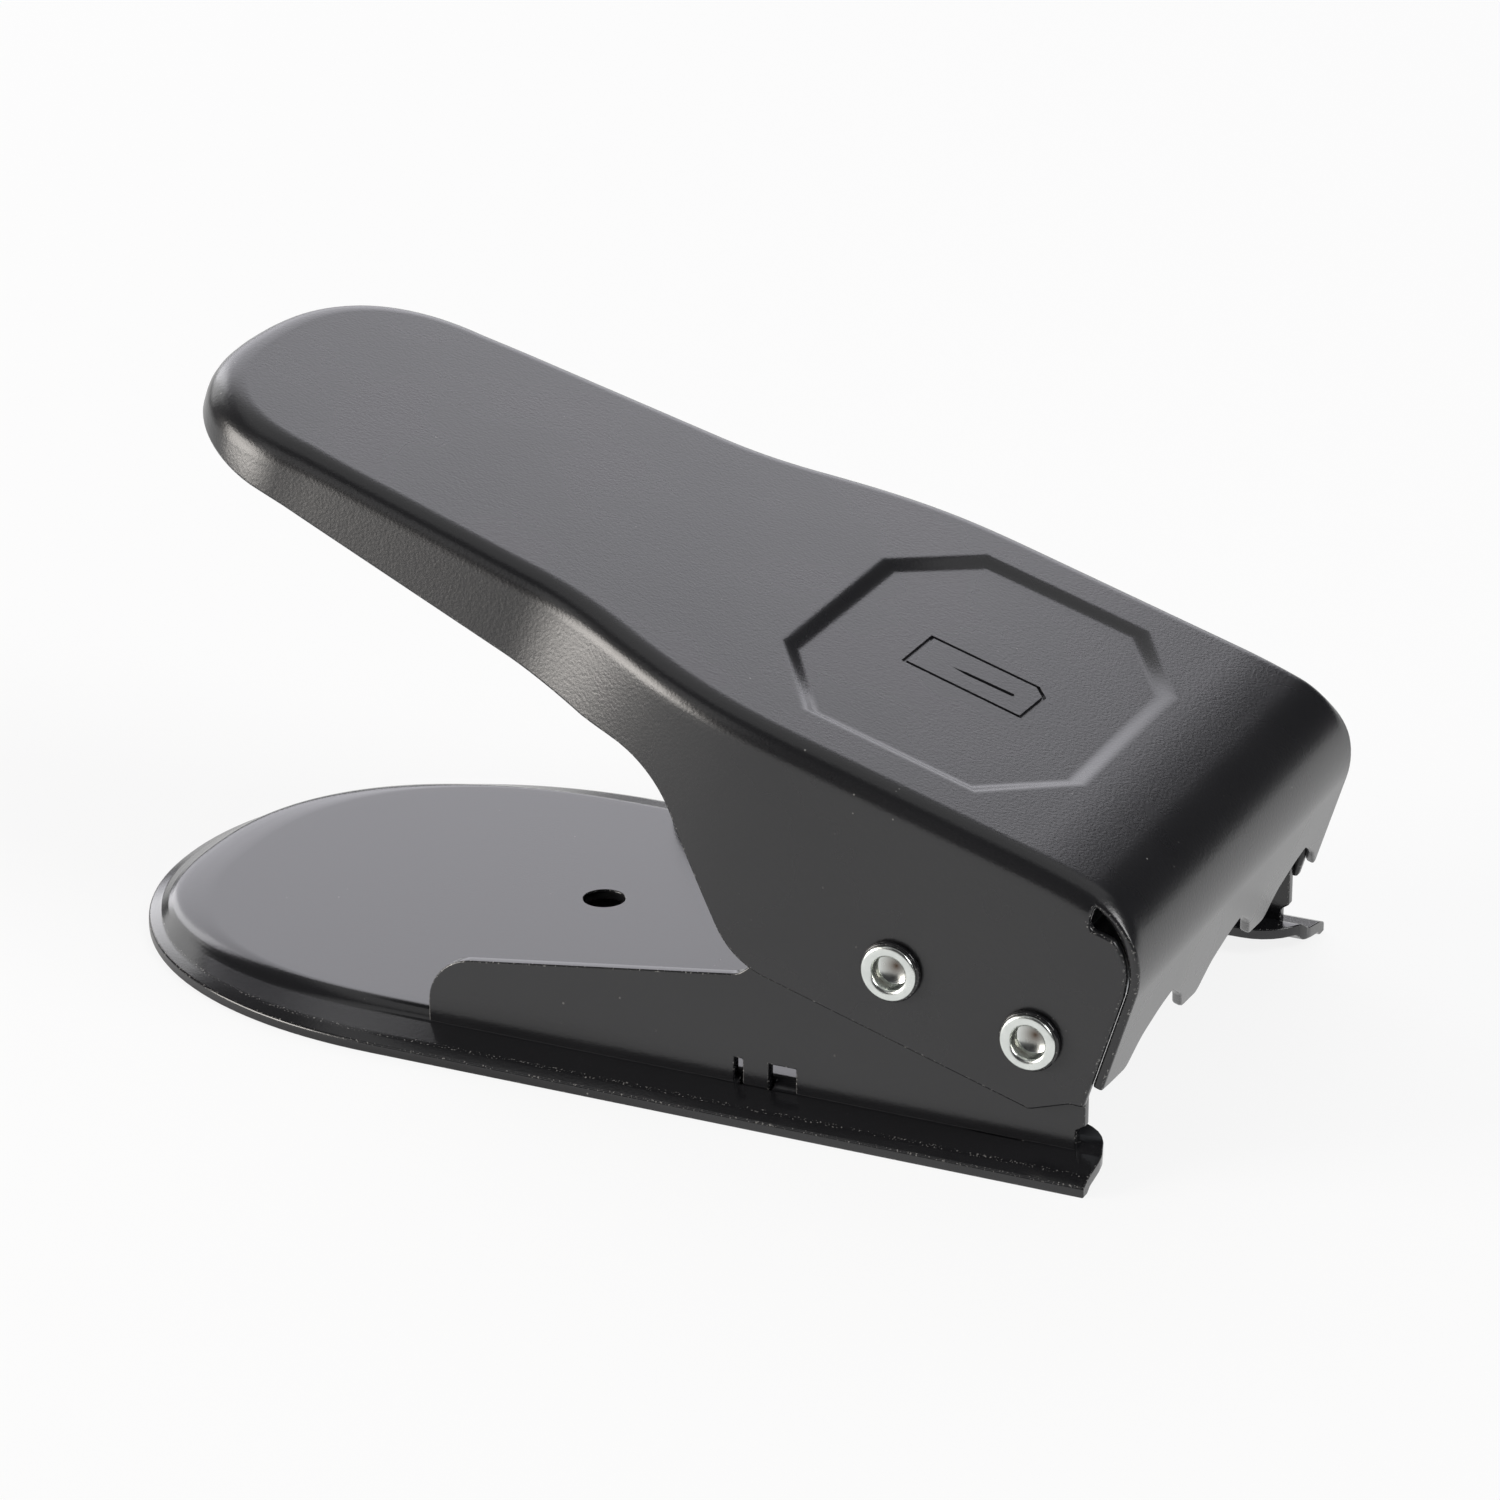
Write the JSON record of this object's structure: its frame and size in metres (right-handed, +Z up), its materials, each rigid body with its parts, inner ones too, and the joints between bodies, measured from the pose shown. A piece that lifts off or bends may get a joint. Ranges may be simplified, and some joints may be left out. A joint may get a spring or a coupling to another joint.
{
  "type": "sim card cutter",
  "caption": "Hand-press SIM card cutter: pressed black lever on two pins over a punch and die, with a flat rounded base.",
  "frame": {"origin": "middle of the open tool's footprint, on the surface that the base rim stands on", "axes": "+X towards the card mouth, +Y to the left when looking along +X, +Z up"},
  "size_m": [0.1259, 0.071, 0.0644],
  "materials": {
    "black_paint": "satin black baked paint with a fine orange peel",
    "zinc_steel": "bright zinc plate",
    "tool_steel": "ground hardened steel",
    "spring_steel": "drawn spring wire",
    "bronze": "sintered bronze"
  },
  "bodies": {
    "frame": {"base_plate": "black_paint", "side_plate_right": "black_paint", "side_plate_left": "black_paint", "die_block": "tool_steel", "slot_spacer": "tool_steel", "stripper_plate": "tool_steel", "die_screws": "zinc_steel", "guide_posts": "tool_steel", "post_clips": "spring_steel", "pivot_pin": "zinc_steel", "pivot_spacer": "tool_steel", "pivot_washers": "black_paint", "return_spring_right": "spring_steel", "return_spring_left": "spring_steel"},
    "lever": {"lever_shell": "black_paint", "drive_pin": "zinc_steel", "drive_washers": "black_paint"},
    "ram": {"punch_holder": "tool_steel", "punch": "tool_steel", "punch_screws": "zinc_steel", "holder_bushes": "bronze"}
  },
  "joints": [
    {"name": "lever_hinge", "type": "hinge", "parent": "frame", "child": "lever", "pos_m": [0.0516, 0, 0.0145], "axis": [0, -1, 0], "range_deg": [0, 16.5], "stiffness_Nm_per_rad": 0.76, "springref_deg": -6.88},
    {"name": "ram_slide", "type": "slide", "parent": "frame", "child": "ram", "axis": [0, 0, -1], "range_m": [0, 0.0046], "deforming": ["return_spring_right", "return_spring_left"]}
  ],
  "couplings": [
    {"joint": "ram_slide", "follows": "lever_hinge", "m_per_rad": 0.015612}
  ]
}
